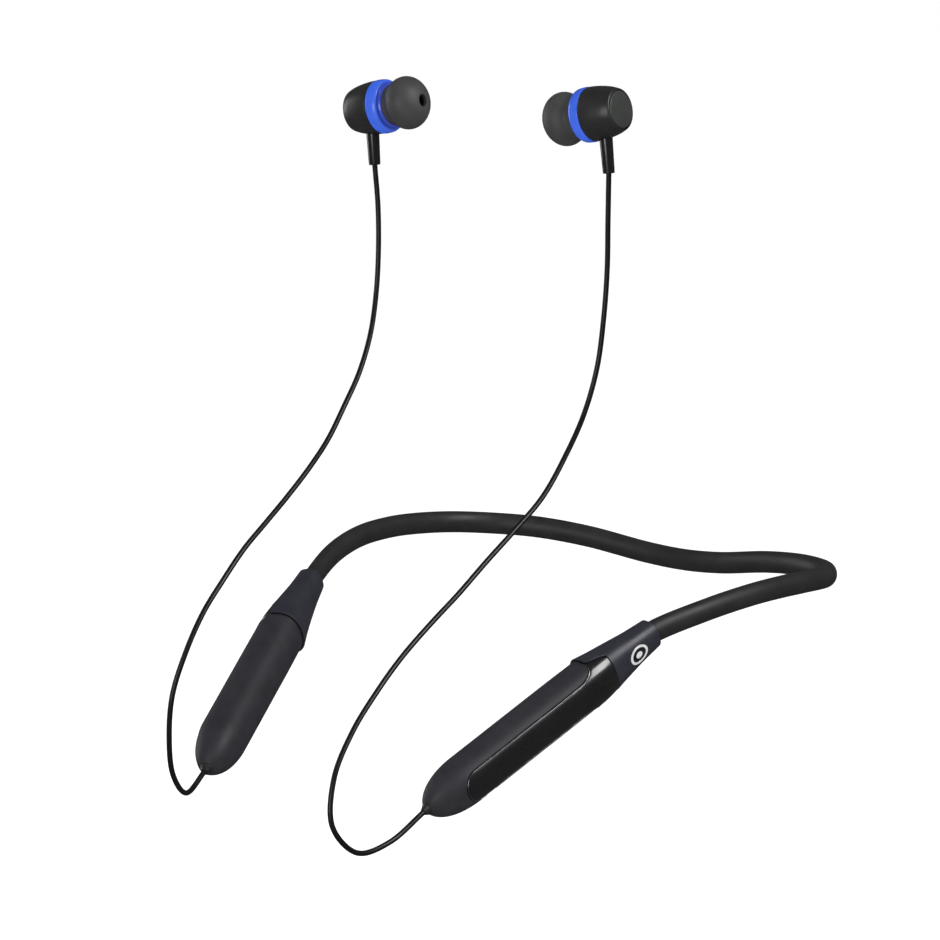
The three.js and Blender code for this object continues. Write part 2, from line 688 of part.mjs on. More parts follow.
function driverMagnet() {
  return turned([[5.4, 0], [5.4, 2.4], [6.9, 2.4], [6.9, 0]]);
}

function diaphragm() {
  return turned([[7.3, 0], [7.3, 1.6], [7.6, 3.7], [7.8, 3.7], [7.9, 1.6], [7.6, 0]]);
}

function earTip() {
  const dome = [];
  const steps = 10;
  for (let i = 0; i <= steps; i += 1) {
    const turn = THREE.MathUtils.degToRad(TIP_SKIRT - ((TIP_SKIRT - TIP_BORE) * i) / steps);
    dome.push([TIP_AT + TIP_LONG * Math.cos(turn), TIP_RADIUS * Math.sin(turn)]);
  }
  return turned([
    [18.6, 1.45], [18.1, 2.95], [11.4, 2.95], [11.4, 3.45], [17.2, 3.45], [16.9, 4.1],
    [15.8, 4.7], [13.4, 4.3], [11.2, 4.05], [11.2, 4.65], [11.9, 4.62], ...dome, [18.6, 1.45],
  ]);
}

function addEarbud(group, side) {
  const { cap, inward, tilt, stem_end: stemEnd } = EARBUDS[side];
  const bud = new THREE.Group();
  bud.position.set(...cap);
  bud.rotation.set(0, inward > 0 ? 0 : Math.PI, 0);
  const lean = new THREE.Quaternion().setFromAxisAngle(
    new THREE.Vector3(0, 1, 0),
    -THREE.MathUtils.degToRad(tilt),
  );
  bud.quaternion.premultiply(lean);
  bud.updateMatrix();
  const end = new THREE.Vector3(...stemEnd).applyMatrix4(bud.matrix.clone().invert());
  const start = new THREE.Vector3(BUD_STEM_AT, 0, 0);
  const direction = end.clone().sub(start).normalize();
  addMesh(bud, `${side}_rear_housing`, rearHousing(direction), 'satin');
  addMesh(bud, `${side}_rear_cap`, rearCap(), 'satin');
  addMesh(bud, `${side}_clasp_magnet`, claspMagnet(), 'steel');
  addMesh(bud, `${side}_front_shell`, frontShell(), 'blue');
  addMesh(bud, `${side}_nozzle_screen`, nozzleScreen(), 'steel');
  addMesh(bud, `${side}_driver_basket`, driverBasket(), 'chip');
  addMesh(bud, `${side}_driver_magnet`, driverMagnet(), 'steel');
  addMesh(bud, `${side}_diaphragm`, diaphragm(), 'film');
  addMesh(bud, `${side}_ear_tip`, earTip(), 'tip');
  const length = end.distanceTo(start);
  const stem = rod(STEM_END_RADIUS, STEM_TOP_RADIUS, -length, -STEM_FROM);
  const placed = stem.applyQuaternion(stemTurn(direction)).translate(BUD_STEM_AT, 0, 0);
  addMesh(bud, `${side}_strain_relief`, placed, 'satin');
  group.add(bud);
}

// ---------------------------------------------------------------- cords

function addCord(group, side) {
  const points = CORD_ROUTES[side].map((point) => new THREE.Vector3(...point));
  const section = new THREE.Shape();
  section.absarc(0, 0, CORD_RADIUS, 0, 2 * Math.PI);
  const cord = new THREE.ExtrudeGeometry(section, {
    steps: 48,
    curveSegments: 4,
    extrudePath: new THREE.CatmullRomCurve3(points, false, 'centripetal'),
  });
  addMesh(group, `${side}_cord`, cord, 'cord');
}

addSleeve(neckband);
addModules(neckband);
for (const side of ['left', 'right']) {
  addEarbud(neckband, side);
  addCord(neckband, side);
}

export default neckband;
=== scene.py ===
"""Looks for the neckband earphones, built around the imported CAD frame. Metres, +Z up.

+X is the wearer's left and -Y the wearer's front. The shapes of a module are worked out in a
local frame in millimetres: X outward from the wearer, Y up its front, Z from the collar's top
to the tip. A bud's local X runs from its rear cap's flat face to the ear tip.
"""

import json
import math

import bmesh
import bpy
import numpy as np
from mathutils import Matrix, Vector


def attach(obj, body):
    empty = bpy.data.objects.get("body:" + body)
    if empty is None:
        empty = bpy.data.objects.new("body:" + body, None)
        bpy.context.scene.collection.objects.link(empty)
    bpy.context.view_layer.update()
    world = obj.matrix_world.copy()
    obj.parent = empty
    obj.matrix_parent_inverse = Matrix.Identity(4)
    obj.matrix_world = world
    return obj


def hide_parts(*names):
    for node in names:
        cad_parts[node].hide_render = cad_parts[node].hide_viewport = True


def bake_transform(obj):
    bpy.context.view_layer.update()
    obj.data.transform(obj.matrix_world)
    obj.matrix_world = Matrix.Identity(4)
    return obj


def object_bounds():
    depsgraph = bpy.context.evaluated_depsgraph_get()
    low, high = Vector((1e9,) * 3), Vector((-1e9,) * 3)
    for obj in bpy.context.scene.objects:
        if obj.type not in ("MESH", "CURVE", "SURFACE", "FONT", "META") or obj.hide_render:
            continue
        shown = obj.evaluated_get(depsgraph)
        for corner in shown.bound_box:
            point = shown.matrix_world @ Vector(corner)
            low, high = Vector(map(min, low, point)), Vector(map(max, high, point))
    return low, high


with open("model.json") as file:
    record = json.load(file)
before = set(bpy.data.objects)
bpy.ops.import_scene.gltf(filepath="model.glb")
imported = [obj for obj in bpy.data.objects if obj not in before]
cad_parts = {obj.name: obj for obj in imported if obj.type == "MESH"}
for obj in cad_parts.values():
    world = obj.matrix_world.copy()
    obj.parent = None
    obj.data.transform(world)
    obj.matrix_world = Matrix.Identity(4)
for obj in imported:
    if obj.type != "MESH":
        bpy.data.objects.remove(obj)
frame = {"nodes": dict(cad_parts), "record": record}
cad_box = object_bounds()

MM = 0.001
SIDES = {"left": 1, "right": -1}

# Neckband sleeve, its left half in millimetres.
SLEEVE_ROUTE = [
    (0, 2.1, 0), (10, 1.6, 0.6), (25.3, -1.5, 3.2), (37.4, -5.2, 4.6), (46.7, -10.6, 5.3),
    (52.8, -19.3, 6.3), (55.2, -32.6, 7.6), (55.3, -41.6, 8.1), (54.4, -52.6, 8.1),
    (51.5, -66.4, 6.7),
]
SLEEVE_THICK = 4.2
SLEEVE_HIGH = 5.1
SLEEVE_PLUG = 5.0  # how far the sleeve's end goes into the collar
CORE_OFFSET = 1.1  # of the wire and the cable from the sleeve's centreline
CORE_RADII = {"memory_wire": 0.5, "signal_cable": 0.6}

# Modules, in millimetres.
COLLAR_TOP = np.array((46.7, -80.8, 3.5))
MODULE_TIP = np.array((29.9, -140.7, -26.4))
MODULE_LENGTH = float(np.linalg.norm(MODULE_TIP - COLLAR_TOP))
TIP_LENGTH = 12.0
SHOULDER = MODULE_LENGTH - TIP_LENGTH
TIP_POWER = 2.1
SECTION_POWER = 2.4
MODULE_PROFILE = [
    (0, 2.75, 3.2), (6, 3.15, 3.85), (12, 3.8, 4.75), (18, 4.65, 5.4),
    (25, 4.85, 5.55), (40, 4.9, 5.55), (SHOULDER, 4.95, 5.5),
]
SEAM_OUTER = 14.6
SEAM_INNER = 19.6
SEAM_STEP = (0.8, 2.3)  # the collar's edge steps between the two over this part of the thickness
COVER_END = 60.5
COVER_HALF = 3.5
COVER_PROUD = 0.12
FLARE_AT = 19.9
FLARE_TURN = math.radians(82)
FLARE_LONG = 5.5
FLARE_ROWS = 28
COLLAR_RADIUS = 5.2  # mean radius where the flare begins
COLLAR_WALL = 0.5
COLLAR_SWELL_FROM = 0.75  # the collar swells over the rest of its length, down to its edge
COLLAR_SWELL = 0.05
COLLAR_SWELL_INNER = 0.3  # more swell on the inner side
SHELL_WALL = 1.1
CORD_HOLE_RADIUS = 1.45
LINING_FROM = 12.0  # the lining inside the collar
LINING_TO = 21.3
LINING_INSET = 1.25
LINING_WALL = 0.35
LINING_LIP = 0.1
TRIM_RADIUS = 0.13  # the polished line along the cover's edge
TRIM_PROUD = 0.04
SEAM_MIDDLE = 0.15  # from the collar's edge to the middle of a seam
LIP = 0.15  # rounding of the moulded edges
COVER_LIP = 0.28  # the cover's polished edge is rounder
SEAM_HALF = 0.2  # from the middle of a seam to where an edge starts to round
BADGE_AT = 7.0
BADGE_LONG = 5.4
BADGE_WIDE = 3.9
BADGE_PROUD = 0.05
BADGE_WALL = 0.35
BADGE_LIP = 0.06
PLATE_REACH = 0.86  # of the badge's half sizes, as are the inlays' inner and outer reach
INLAYS = {"badge_ring": (0.8, 1.0), "badge_dot": (0.0, 0.34)}
INLAY_RAISED = 0.06

# Controls on the inner face of the left module, in millimetres.
BUTTONS = {"volume_up": 27.0, "play": 34.0, "volume_down": 41.0}
BUTTON_LONG = 5.4
BUTTON_WIDE = 3.0
BUTTON_PROUD = 0.5
BUTTON_CROWN = 0.22
BUTTON_FLAT = 0.94  # of the key's full size, before its rounded lip is added
BUTTON_DEEP = 2.35
BUTTON_LIP = 0.12
BUTTON_ROOM = 0.13
INNER_FACE = -4.9
CUT_FROM = INNER_FACE - 3
CUT_TO = -1.5
LED_AT = 22.4
LED_HOLE = 0.8
MICROPHONE_AT = 46.2
MICROPHONE_HOLE = 0.45
SOCKET_AT = 54.0
SOCKET_WIDE = 8.9
SOCKET_HIGH = 3.2
SOCKET_ROOM = 0.3
SOCKET_CUT = (-9, -2)
BAR_LONG = 1.2
BAR_WIDE = 0.26
DOT_WIDE = 0.6
MARK_RAISED = 0.09
MARK_SUNK = 0.2  # a mark starts this far outside the inner face, inside its key
MARKS = {
    "volume_up": [(BAR_LONG, BAR_WIDE), (BAR_WIDE, BAR_LONG)],
    "play": [(DOT_WIDE, DOT_WIDE)],
    "volume_down": [(BAR_LONG, BAR_WIDE)],
}

# Earbuds, in millimetres.
BUD_STEM_AT = 4.8
TIP_AT = 15.1
TIP_LONG = 4.6
TIP_RADIUS = 5.95
STEM_TOP_RADIUS = 1.5
STEM_END_RADIUS = 1.3
PAINTED_SHADE_FROM = 10.36  # the front shell is darker from its step to the nozzle's end: painted shade for the recessed step

# Cords, from the end of the earbud's stem down to the module's tip, in metres.
CORD_DIAMETER = 0.0012
CORD_ROUTES = {
    "left": [
        (0.032, -0.0765, 0.103), (0.0315, -0.076, 0.0925), (0.031, -0.0755, 0.0815),
        (0.0305, -0.076, 0.071), (0.0295, -0.077, 0.06), (0.0285, -0.0805, 0.05),
        (0.0275, -0.0865, 0.041), (0.027, -0.094, 0.0335), (0.026, -0.103, 0.0275),
        (0.025, -0.112, 0.022), (0.0245, -0.1215, 0.0165), (0.024, -0.131, 0.0115),
        (0.0235, -0.1405, 0.006), (0.0235, -0.1495, 0), (0.0235, -0.158, -0.007),
        (0.024, -0.165, -0.0155), (0.025, -0.167, -0.025), (0.0265, -0.1605, -0.032),
        (0.028, -0.151, -0.0315), (0.0298, -0.1411, -0.0266),
    ],
    "right": [
        (-0.0315, -0.0765, 0.0998), (-0.031, -0.076, 0.0905), (-0.0305, -0.0765, 0.081),
        (-0.03, -0.078, 0.0715), (-0.029, -0.0815, 0.0625), (-0.028, -0.087, 0.0545),
        (-0.0275, -0.0935, 0.0475), (-0.0265, -0.1005, 0.0415), (-0.0255, -0.1085, 0.0365),
        (-0.025, -0.117, 0.0315), (-0.0245, -0.1255, 0.027), (-0.024, -0.134, 0.0225),
        (-0.0235, -0.142, 0.017), (-0.0235, -0.149, 0.011), (-0.0235, -0.155, 0.0035),
        (-0.0245, -0.1585, -0.0055), (-0.0255, -0.1585, -0.015), (-0.027, -0.1555, -0.024),
        (-0.0282, -0.1495, -0.0295), (-0.0298, -0.1411, -0.0266),
    ],
}

# ------------------------------------------------------------------ camera

CAMERA_PLACE = (0.70806, -1.05818, 0.26699)
CAMERA_AZIMUTH = 36
CAMERA_ELEVATION = 10.91
CAMERA_LENS = 212.33
SENSOR_WIDTH = 36


def look_along(azimuth, elevation):
    """The direction a camera looks in, from its azimuth and elevation in degrees."""
    az, el = math.radians(azimuth), math.radians(elevation)
    return Vector((-math.sin(az) * math.cos(el), math.cos(az) * math.cos(el), -math.sin(el)))


def add_camera():
    data = bpy.data.cameras.new("camera")
    data.sensor_width = SENSOR_WIDTH
    data.lens = CAMERA_LENS
    data.clip_start = 0.05
    data.clip_end = 60
    camera = bpy.data.objects.new("camera", data)
    camera.location = CAMERA_PLACE
    camera.rotation_mode = "QUATERNION"
    facing = look_along(CAMERA_AZIMUTH, CAMERA_ELEVATION)
    camera.rotation_quaternion = facing.to_track_quat("-Z", "Y")
    bpy.context.scene.collection.objects.link(camera)
    bpy.context.scene.camera = camera


# ------------------------------------------------------------------ materials

# Texture scales, in features per metre.
MOTTLE = 260.0
DRIFT = 120.0
BRUSHED_LINES = 700.0
MESH_HOLES = 4200.0
BOARD_PATCHES = 900.0
BRUSHED_DEPTH = 5e-6
GLOSS_JITTER = 0.04


def node(tree, kind, **inputs):
    """Adds a node and sets its inputs; a value that is a socket is linked."""
    made = tree.nodes.new(kind)
    for name, value in inputs.items():
        put(tree, made.inputs[name.replace("_", " ")], value)
    return made


def put(tree, socket, value):
    if isinstance(value, bpy.types.NodeSocket):
        tree.links.new(value, socket)
    else:
        socket.default_value = value


def noise(tree, scale, detail=4.0, roughness=0.55):
    """Noise over the object's own coordinates. The scale is in features per metre."""
    where = tree.nodes.new("ShaderNodeTexCoord").outputs["Object"]
    made = node(tree, "ShaderNodeTexNoise", Vector=where, Scale=scale, Detail=detail)
    made.inputs["Roughness"].default_value = roughness
    return made.outputs["Fac"]


def spread(tree, value, low, high, start=0.3, end=0.7):
    """The value, stretched from between start and end to between low and high."""
    made = node(
        tree, "ShaderNodeMapRange",
        Value=value, From_Min=start, From_Max=end, To_Min=low, To_Max=high,
    )
    return made.outputs["Result"]


def bumped(tree, height, depth):
    """A normal for bumps of that depth, in metres."""
    return node(tree, "ShaderNodeBump", Height=height, Distance=depth).outputs["Normal"]


def two_tone(tree, factor, dark, light):
    made = tree.nodes.new("ShaderNodeMix")
    made.data_type = "RGBA"
    put(tree, made.inputs["Factor"], factor)
    made.inputs["A"].default_value = (*dark, 1)
    made.inputs["B"].default_value = (*light, 1)
    return made.outputs["Result"]


def material(name, **settings):
    """A material with one Principled shader; the settings are its inputs."""
    made = bpy.data.materials.new(name)
    made.use_nodes = True
    shader = made.node_tree.nodes["Principled BSDF"]
    for key, value in settings.items():
        shader.inputs[key.replace("_", " ")].default_value = value
    return made, made.node_tree, shader


def moulded(name, dark, light, rough, grain, depth, **settings):
    """Moulded plastic or rubber: slow colour drift, uneven gloss and a fine moulded grain."""
    made, tree, shader = material(name, **settings)
    drift = noise(tree, MOTTLE, 3.0)
    fine = noise(tree, grain, 2.0, 0.6)
    put(tree, shader.inputs["Base Color"], two_tone(tree, spread(tree, drift, 0, 1), dark, light))
    gloss = node(tree, "ShaderNodeMath")
    gloss.operation = "ADD"
    put(tree, gloss.inputs[0], spread(tree, drift, rough[0], rough[1]))
    put(tree, gloss.inputs[1], spread(tree, fine, -GLOSS_JITTER, GLOSS_JITTER))
    put(tree, shader.inputs["Roughness"], gloss.outputs[0])
    put(tree, shader.inputs["Normal"], bumped(tree, fine, depth))
    return made


def polished(name, dark, light, rough, **settings):
    """Smooth glossy plastic: slow drifts of colour and gloss, with no grain."""
    made, tree, shader = material(name, **settings)
    drift = spread(tree, noise(tree, DRIFT, 3.0), 0, 1)
    put(tree, shader.inputs["Base Color"], two_tone(tree, drift, dark, light))
    put(tree, shader.inputs["Roughness"], spread(tree, drift, rough[0], rough[1], 0, 1))
    return made


def brushed(name, dark, light, rough, stretch):
    """Metal or foil with fine lines, as noise that is stretched along the object's axes."""
    made, tree, shader = material(name, Metallic=1.0)
    where = tree.nodes.new("ShaderNodeTexCoord").outputs["Object"]
    mapped = node(tree, "ShaderNodeMapping", Vector=where, Scale=stretch)
    stretched = mapped.outputs["Vector"]
    lines = node(tree, "ShaderNodeTexNoise", Vector=stretched, Scale=BRUSHED_LINES, Detail=5.0)
    value = lines.outputs["Fac"]
    put(tree, shader.inputs["Base Color"], two_tone(tree, spread(tree, value, 0, 1), dark, light))
    put(tree, shader.inputs["Roughness"], spread(tree, value, rough[0], rough[1]))
    put(tree, shader.inputs["Normal"], bumped(tree, value, BRUSHED_DEPTH))
    return made


def mesh_metal(name):
    """Fine metal mesh: a regular grid of round dark holes."""
    made, tree, shader = material(name, Metallic=1.0)
    where = tree.nodes.new("ShaderNodeTexCoord").outputs["Object"]
    cells = node(tree, "ShaderNodeTexVoronoi", Vector=where, Scale=MESH_HOLES, Randomness=0.0)
    holes = spread(tree, cells.outputs["Distance"], 0, 1, 0.25, 0.45)
    colour = two_tone(tree, holes, (0.01, 0.01, 0.01), (0.55, 0.56, 0.58))
    put(tree, shader.inputs["Base Color"], colour)
    put(tree, shader.inputs["Roughness"], spread(tree, holes, 0.8, 0.3, 0, 1))
    put(tree, shader.inputs["Normal"], bumped(tree, holes, 3e-5))
    return made


def board_green(name):
    """A circuit board: green solder mask in patches, parted by darker lines."""
    made, tree, shader = material(name, Coat_Weight=0.4, Coat_Roughness=0.2)
    where = tree.nodes.new("ShaderNodeTexCoord").outputs["Object"]
    cells = node(tree, "ShaderNodeTexVoronoi", Vector=where, Scale=BOARD_PATCHES)
    cells.distance = "CHEBYCHEV"
    tracks = spread(tree, cells.outputs["Distance"], 0, 1, 0.3, 0.36)
    colour = two_tone(tree, tracks, (0.012, 0.16, 0.05), (0.006, 0.07, 0.022))
    put(tree, shader.inputs["Base Color"], colour)
    put(tree, shader.inputs["Roughness"], spread(tree, noise(tree, 2000.0), 0.35, 0.5))
    put(tree, shader.inputs["Normal"], bumped(tree, tracks, 2e-5))
    return made


def make_materials():
    """One finish for each kind of surface, by name."""
    return {
        "silicone": moulded(
            "band_silicone", (0.0085, 0.0085, 0.009), (0.0115, 0.0115, 0.012), (0.46, 0.54),
            grain=11000.0, depth=7e-6, Specular_IOR_Level=0.4,
        ),
        "satin": moulded(
            "collar_satin", (0.017, 0.0175, 0.025), (0.022, 0.0225, 0.031), (0.36, 0.44),
            grain=14000.0, depth=5e-6, Metallic=0.25,
        ),
        "matte": moulded(
            "soft_touch", (0.0125, 0.0125, 0.0155), (0.0165, 0.016, 0.0205), (0.5, 0.58),
            grain=12000.0, depth=7e-6, Specular_IOR_Level=0.35,
        ),
        "gloss": polished(
            "gloss_cover", (0.004, 0.004, 0.0045), (0.0055, 0.0055, 0.006), (0.26, 0.3),
            Coat_Weight=0.5, Coat_Roughness=0.12,
        ),
        "trim": polished(
            "cover_trim", (0.3, 0.3, 0.31), (0.4, 0.4, 0.41), (0.24, 0.3), Metallic=1.0,
        ),
        "housing": moulded(
            "bud_satin_black", (0.010, 0.010, 0.0105), (0.0135, 0.0135, 0.014), (0.34, 0.42),
            grain=15000.0, depth=5e-6,
        ),
        "cap": moulded(
            "cap_satin_grey", (0.024, 0.026, 0.024), (0.031, 0.033, 0.031), (0.36, 0.44),
            grain=15000.0, depth=5e-6, Metallic=0.2,
        ),
        "blue": moulded(
            "bud_blue", (0.020, 0.075, 0.48), (0.026, 0.09, 0.55), (0.3, 0.36),
            grain=12000.0, depth=2e-6, Coat_Weight=0.3, Coat_Roughness=0.1,
        ),
        # a darker copy of the blue: painted shade for the front shell's recessed step
        "blue_painted_shade": moulded(
            "bud_blue_painted_shade", (0.018, 0.042, 0.34), (0.022, 0.05, 0.4), (0.3, 0.36),
            grain=12000.0, depth=2e-6, Coat_Weight=0.3, Coat_Roughness=0.1,
        ),
        "tip": moulded(
            "tip_silicone", (0.027, 0.027, 0.027), (0.034, 0.034, 0.034), (0.48, 0.56),
            grain=10000.0, depth=6e-6, Specular_IOR_Level=0.35,
        ),
        "cord": moulded(
            "cord_rubber", (0.003, 0.003, 0.003), (0.0045, 0.0045, 0.0045), (0.3, 0.38),
            grain=7000.0, depth=4e-6, Specular_IOR_Level=0.35,
        ),
        "rubber": moulded(
            "grommet_rubber", (0.007, 0.007, 0.0075), (0.010, 0.010, 0.0105), (0.45, 0.55),
            grain=10000.0, depth=9e-6,
        ),
        "chip": moulded(
            "chip_black", (0.008, 0.008, 0.0095), (0.012, 0.012, 0.014), (0.4, 0.5),
            grain=16000.0, depth=6e-6,
        ),
        "film": moulded(
            "film_cream", (0.62, 0.6, 0.53), (0.72, 0.7, 0.63), (0.35, 0.45),
            grain=9000.0, depth=4e-6,
        ),
        "lens": moulded(
            "light_pipe", (0.72, 0.78, 0.82), (0.82, 0.87, 0.9), (0.12, 0.2),
            grain=4000.0, depth=2e-6, Transmission_Weight=0.5, IOR=1.5,
        ),
        "steel": brushed(
            "brushed_steel", (0.5, 0.51, 0.53), (0.64, 0.65, 0.67), (0.24, 0.38), (1, 1, 12),
        ),
        "badge": moulded(
            "badge_silver", (0.5, 0.5, 0.51), (0.6, 0.6, 0.61), (0.25, 0.35),
            grain=12000.0, depth=2e-6, Metallic=0.3,
        ),
        "copper": brushed(
            "copper_strands", (0.5, 0.16, 0.05), (0.66, 0.24, 0.09), (0.28, 0.4), (1, 9, 9),
        ),
        "cell": brushed(
            "cell_foil", (0.3, 0.32, 0.36), (0.44, 0.46, 0.5), (0.3, 0.45), (9, 1, 1),
        ),
        "screen": mesh_metal("nozzle_mesh"),
        "board": board_green("circuit_board"),
    }


# ------------------------------------------------------------------ curves and meshes

CREASE = math.radians(40)  # sharper edges than this are not smoothed
CORNER_STEPS = 4


def catmull_rom(points, per_segment):
    """A centripetal Catmull-Rom curve through the points, as a dense array."""
    p = np.array(points, float)
    p = np.vstack([2 * p[0] - p[1], p, 2 * p[-1] - p[-2]])
    steps = np.linspace(0, 1, per_segment, endpoint=False)[:, None]
    found = []
    for p0, p1, p2, p3 in zip(p[:-3], p[1:-2], p[2:-1], p[3:]):
        d0, d1, d2 = (math.sqrt(np.linalg.norm(b - a)) for a, b in ((p0, p1), (p1, p2), (p2, p3)))
        start = d1 * ((p1 - p0) / d0 - (p2 - p0) / (d0 + d1) + (p2 - p1) / d1)
        end = d1 * ((p2 - p1) / d1 - (p3 - p1) / (d1 + d2) + (p3 - p2) / d2)
        square = -3 * p1 + 3 * p2 - 2 * start - end
        cube = 2 * p1 - 2 * p2 + start + end
        found.append(p1 + start * steps + square * steps**2 + cube * steps**3)
    return np.vstack([*found, p[-2:-1]])


def unit(vectors):
    return vectors / np.linalg.norm(vectors, axis=-1, keepdims=True)


def grid_faces(rows, columns, first=0, closed=False):
    """Quads over a grid of points; closed joins the last column to the first."""
    faces = []
    for i in range(rows - 1):
        for j in range(columns if closed else columns - 1):
            k = (j + 1) % columns
            a, b = first + i * columns + j, first + i * columns + k
            faces.append((a, b, b + columns, a + columns))
    return faces


def welded(points, faces):
    """The same surface with points that coincide made one, and faces with no area left out."""
    keys, found, renamed = {}, [], []
    for point in points:
        key = tuple(np.round(point, 5))
        if key not in keys:
            keys[key] = len(found)
            found.append(point)
        renamed.append(keys[key])
    kept = []
    for face in faces:
        corners = [renamed[k] for k in face]
        corners = [c for i, c in enumerate(corners) if c != corners[i - 1]]
        if len(corners) > 2:
            kept.append(tuple(corners))
    return np.array(found), kept


def point_normals(points, faces):
    normals = np.zeros_like(points)
    for face in faces:
        ring = points[list(face)]
        facing = np.cross(ring[2] - ring[0], ring[-1] - ring[1])
        for k in face:
            normals[k] += facing
    return unit(normals)


def boundary_loops(faces):
    """The open edges of a surface as loops of points, with the surface on their left."""
    edges = {}
    for face in faces:
        for a, b in zip(face, face[1:] + face[:1]):
            edges[a, b] = True
    ahead = {a: b for a, b in edges if (b, a) not in edges}
    loops = []
    while ahead:
        first = next(iter(ahead))
        loop, here = [first], ahead.pop(first)
        while here != first:
            loop.append(here)
            here = ahead.pop(here)
        loops.append(loop)
    return loops


def thickened(points, faces, wall, lip=LIP):
    """A closed shell: the surface, rounded lips on its open edges, and an inner skin."""
    points, faces = welded(points, faces)
    normals = point_normals(points, faces)
    count = len(points)
    layers = [points, points - normals * wall]
    made = faces + [tuple(count + k for k in reversed(face)) for face in faces]
    total = 2 * count
    for loop in boundary_loops(faces):
        edge, facing = points[loop], normals[loop]
        outward = unit(np.cross(np.roll(edge, -1, axis=0) - np.roll(edge, 1, axis=0), facing))
        rows = [list(loop)]
        for turn in np.radians((22.5, 45, 67.5, 90)):
            over, under = lip * math.sin(turn), lip * (1 - math.cos(turn))
            layers.append(edge + outward * over - facing * under)
            rows.append(list(range(total, total + len(loop))))
            total += len(loop)
        rows.append([count + k for k in loop])
        for near, far in zip(rows[:-1], rows[1:]):
            for i in range(len(loop)):
                j = (i + 1) % len(loop)
                made.append((near[j], near[i], far[i], far[j]))
    return np.vstack(layers), made


def add_mesh(name, points, faces, finish, place=Matrix.Identity(4)):
    """A mesh object from points in millimetres, with its faces turned outward."""
    mesh = bpy.data.meshes.new(name)
    mesh.from_pydata((np.asarray(points) * MM).tolist(), [], faces)
    mesh.transform(place)
    shaped = bmesh.new()
    shaped.from_mesh(mesh)
    bmesh.ops.recalc_face_normals(shaped, faces=shaped.faces)
    shaped.to_mesh(mesh)
    shaped.free()
    mesh.shade_smooth()
    mesh.set_sharp_from_angle(angle=CREASE)
    mesh.materials.append(MATERIALS[finish])
    made = bpy.data.objects.new(name, mesh)
    bpy.context.scene.collection.objects.link(made)
    return made


def add_tube(name, line, radius, finish):
    """A round tube along a line of points in metres."""
    data = bpy.data.curves.new(name, "CURVE")
    data.dimensions = "3D"
    data.bevel_depth = radius
    data.bevel_resolution = 6
    data.use_fill_caps = True
    spline = data.splines.new("POLY")
    spline.points.add(len(line) - 1)
    for point, place in zip(spline.points, line):
        point.co = (*place, 1)
    spline.use_smooth = True
    data.materials.append(MATERIALS[finish])
    made = bpy.data.objects.new(name, data)
    bpy.context.scene.collection.objects.link(made)
    return made


def rounded(profile):
    """An outline of (along, out, rounding) points with each corner rounded by that much."""
    corners = np.array([(a, r) for a, r, _ in profile], float)
    found = []
    for i, (_, _, radius) in enumerate(profile):
        corner = corners[i]
        back, ahead = corners[i - 1] - corner, corners[(i + 1) % len(corners)] - corner
        room = 0.45 * min(np.linalg.norm(back), np.linalg.norm(ahead))
        reach = min(radius, room)
        if reach <= 0:
            found.append(corner)
            continue
        start, end = corner + unit(back) * reach, corner + unit(ahead) * reach
        for t in np.linspace(0, 1, CORNER_STEPS + 1):
            found.append((1 - t) ** 2 * start + 2 * t * (1 - t) * corner + t * t * end)
    return np.array(found)


def lathe(outline, segments=96):
    """A closed outline of (along, radius) points turned about local X."""
    turns = np.linspace(0, 2 * math.pi, segments, endpoint=False)
    points = []
    for along, radius in outline:
        y, z = radius * np.cos(turns), radius * np.sin(turns)
        points.append(np.stack([np.full(segments, along), y, z], axis=1))
    rows = len(outline)
    faces = grid_faces(rows, segments, closed=True)
    last = (rows - 1) * segments
    for j in range(segments):
        k = (j + 1) % segments
        faces.append((last + j, last + k, k, j))
    return welded(np.vstack(points), faces)


# ------------------------------------------------------------------ neckband


def sleeve_line():
    """The sleeve's centreline with the distance along it from the middle, both halves."""
    along = (MODULE_TIP - COLLAR_TOP) / MODULE_LENGTH
    half = [*SLEEVE_ROUTE, tuple(COLLAR_TOP), tuple(COLLAR_TOP + along * SLEEVE_PLUG)]
    whole = [(-x, y, z) for x, y, z in reversed(half[1:])] + half
    line = catmull_rom(whole, 60)
    steps = np.linalg.norm(np.diff(line, axis=0), axis=1)
    distance = np.concatenate([[0], np.cumsum(steps)])
    return line, distance - distance[-1] / 2


def place_on(line, distance, at):
    """Points on a line at distances along it."""
    return np.stack([np.interp(at, distance, line[:, k]) for k in range(3)], axis=-1)


def swept(from_at, to_at, half_thick, half_high, lift, spacing, columns):
    """A closed tube along the sleeve between two distances from its middle."""
    line, distance = SLEEVE_LINE
    at = np.linspace(from_at, to_at, max(3, round(abs(to_at - from_at) / spacing)))
    centre = place_on(line, distance, at)
    travel = unit(place_on(line, distance, at + 0.2) - place_on(line, distance, at - 0.2))
    side = unit(np.cross((0, 0, 1), travel))
    up = np.cross(travel, side)
    turns = np.linspace(0, 2 * math.pi, columns, endpoint=False)
    ring = half_thick * np.cos(turns)[None, :, None] * side[:, None, :]
    ring = ring + (lift + half_high * np.sin(turns))[None, :, None] * up[:, None, :]
    points = (centre[:, None, :] + ring).reshape(-1, 3)
    faces = grid_faces(len(at), columns, closed=True)
    faces.append(tuple(reversed(range(columns))))
    faces.append(tuple(range(len(points) - columns, len(points))))
    return points, faces


